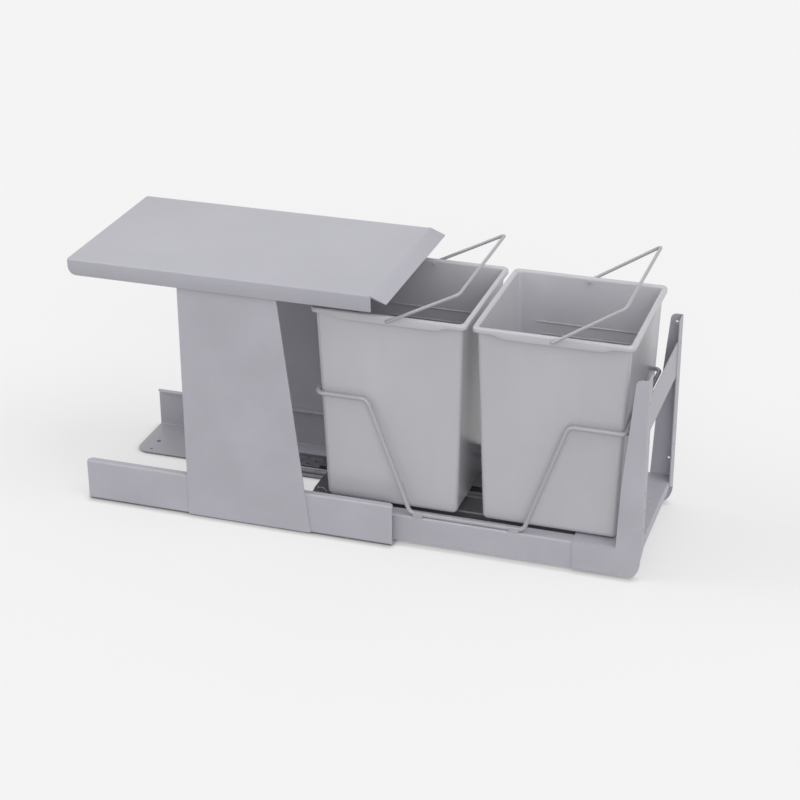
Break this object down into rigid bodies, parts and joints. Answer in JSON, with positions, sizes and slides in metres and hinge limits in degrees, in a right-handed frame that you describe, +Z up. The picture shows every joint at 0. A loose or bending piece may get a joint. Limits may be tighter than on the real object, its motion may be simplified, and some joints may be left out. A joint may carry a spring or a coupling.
{
  "type": "pull out trash cabinet",
  "caption": "Pull-out waste unit for a kitchen cabinet: lidded floor frame, sliding carriage with door brackets, bins with wire handles and a guard wire.",
  "frame": {"origin": "centre of the four floor screws, on the cabinet floor under the base rails", "axes": "+Z up, -Y the way the carriage pulls out to the front, +X to the right side"},
  "size_m": [0.2612, 0.8, 0.3886],
  "materials": {
    "powder_coat": "satin",
    "lid_coat": "satin",
    "zinc": "satin",
    "ball_steel": "polished",
    "bin_plastic": "matte",
    "wire_coat": "satin",
    "rubber": "matte"
  },
  "bodies": {
    "base": {"left_base_rail": "powder_coat", "right_base_rail": "powder_coat", "left_side_panel": "powder_coat", "right_side_panel": "powder_coat", "lid": "lid_coat", "left_slide_channel": "zinc", "right_slide_channel": "zinc", "slide_end_stops": "rubber"},
    "left_outer_run": {"left_outer_cage": "zinc", "left_outer_balls": "ball_steel"},
    "right_outer_run": {"right_outer_cage": "zinc", "right_outer_balls": "ball_steel"},
    "left_middle": {"left_slide_middle": "zinc"},
    "right_middle": {"right_slide_middle": "zinc"},
    "left_inner_run": {"left_inner_cage": "zinc", "left_inner_balls": "ball_steel"},
    "right_inner_run": {"right_inner_cage": "zinc", "right_inner_balls": "ball_steel"},
    "carriage": {"left_slide_bar": "zinc", "right_slide_bar": "zinc", "left_carriage_rail": "powder_coat", "right_carriage_rail": "powder_coat", "left_door_bracket": "powder_coat", "right_door_bracket": "powder_coat", "front_cross_bar": "powder_coat", "left_floor_strip": "zinc", "right_floor_strip": "zinc", "rear_cross_plate": "zinc", "front_cross_plate": "powder_coat", "bin_guard_wire": "wire_coat", "guard_wire_tabs": "powder_coat", "rear_wire_hook": "zinc"},
    "rear_bin_body": {"rear_bin": "bin_plastic"},
    "front_bin_body": {"front_bin": "bin_plastic"},
    "rear_bail_body": {"rear_bail": "wire_coat"},
    "front_bail_body": {"front_bail": "wire_coat"}
  },
  "joints": [
    {"name": "carriage_slide", "type": "slide", "parent": "base", "child": "carriage", "axis": [0, -1, 0], "range_m": [-0.325, 0]},
    {"name": "left_outer_run_travel", "type": "slide", "parent": "base", "child": "left_outer_run", "axis": [0, -1, 0], "range_m": [-0.08125, 0]},
    {"name": "right_outer_run_travel", "type": "slide", "parent": "base", "child": "right_outer_run", "axis": [0, -1, 0], "range_m": [-0.08125, 0]},
    {"name": "left_middle_travel", "type": "slide", "parent": "base", "child": "left_middle", "axis": [0, -1, 0], "range_m": [-0.1625, 0]},
    {"name": "right_middle_travel", "type": "slide", "parent": "base", "child": "right_middle", "axis": [0, -1, 0], "range_m": [-0.1625, 0]},
    {"name": "left_inner_run_travel", "type": "slide", "parent": "base", "child": "left_inner_run", "axis": [0, -1, 0], "range_m": [-0.24375, 0]},
    {"name": "right_inner_run_travel", "type": "slide", "parent": "base", "child": "right_inner_run", "axis": [0, -1, 0], "range_m": [-0.24375, 0]},
    {"name": "rear_bin_lift", "type": "slide", "parent": "carriage", "child": "rear_bin_body", "axis": [0, 0, 1], "range_m": [0, 0.02]},
    {"name": "front_bin_lift", "type": "slide", "parent": "carriage", "child": "front_bin_body", "axis": [0, 0, 1], "range_m": [0, 0.02]},
    {"name": "rear_bail_fold", "type": "hinge", "parent": "rear_bin_body", "child": "rear_bail_body", "pos_m": [0, -0.2173, 0.3263], "axis": [1, 0, 0], "range_deg": [0, 43.5]},
    {"name": "front_bail_fold", "type": "hinge", "parent": "front_bin_body", "child": "front_bail_body", "pos_m": [0, -0.4397, 0.3263], "axis": [1, 0, 0], "range_deg": [0, 44]}
  ],
  "couplings": [
    {"joint": "left_outer_run_travel", "follows": "carriage_slide", "ratio": 0.25},
    {"joint": "right_outer_run_travel", "follows": "carriage_slide", "ratio": 0.25},
    {"joint": "left_middle_travel", "follows": "carriage_slide", "ratio": 0.5},
    {"joint": "right_middle_travel", "follows": "carriage_slide", "ratio": 0.5},
    {"joint": "left_inner_run_travel", "follows": "carriage_slide", "ratio": 0.75},
    {"joint": "right_inner_run_travel", "follows": "carriage_slide", "ratio": 0.75},
    {"joint": "rear_bail_fold", "follows": "carriage_slide", "rad_per_m": -2.336},
    {"joint": "front_bail_fold", "follows": "carriage_slide", "rad_per_m": -2.3629}
  ]
}
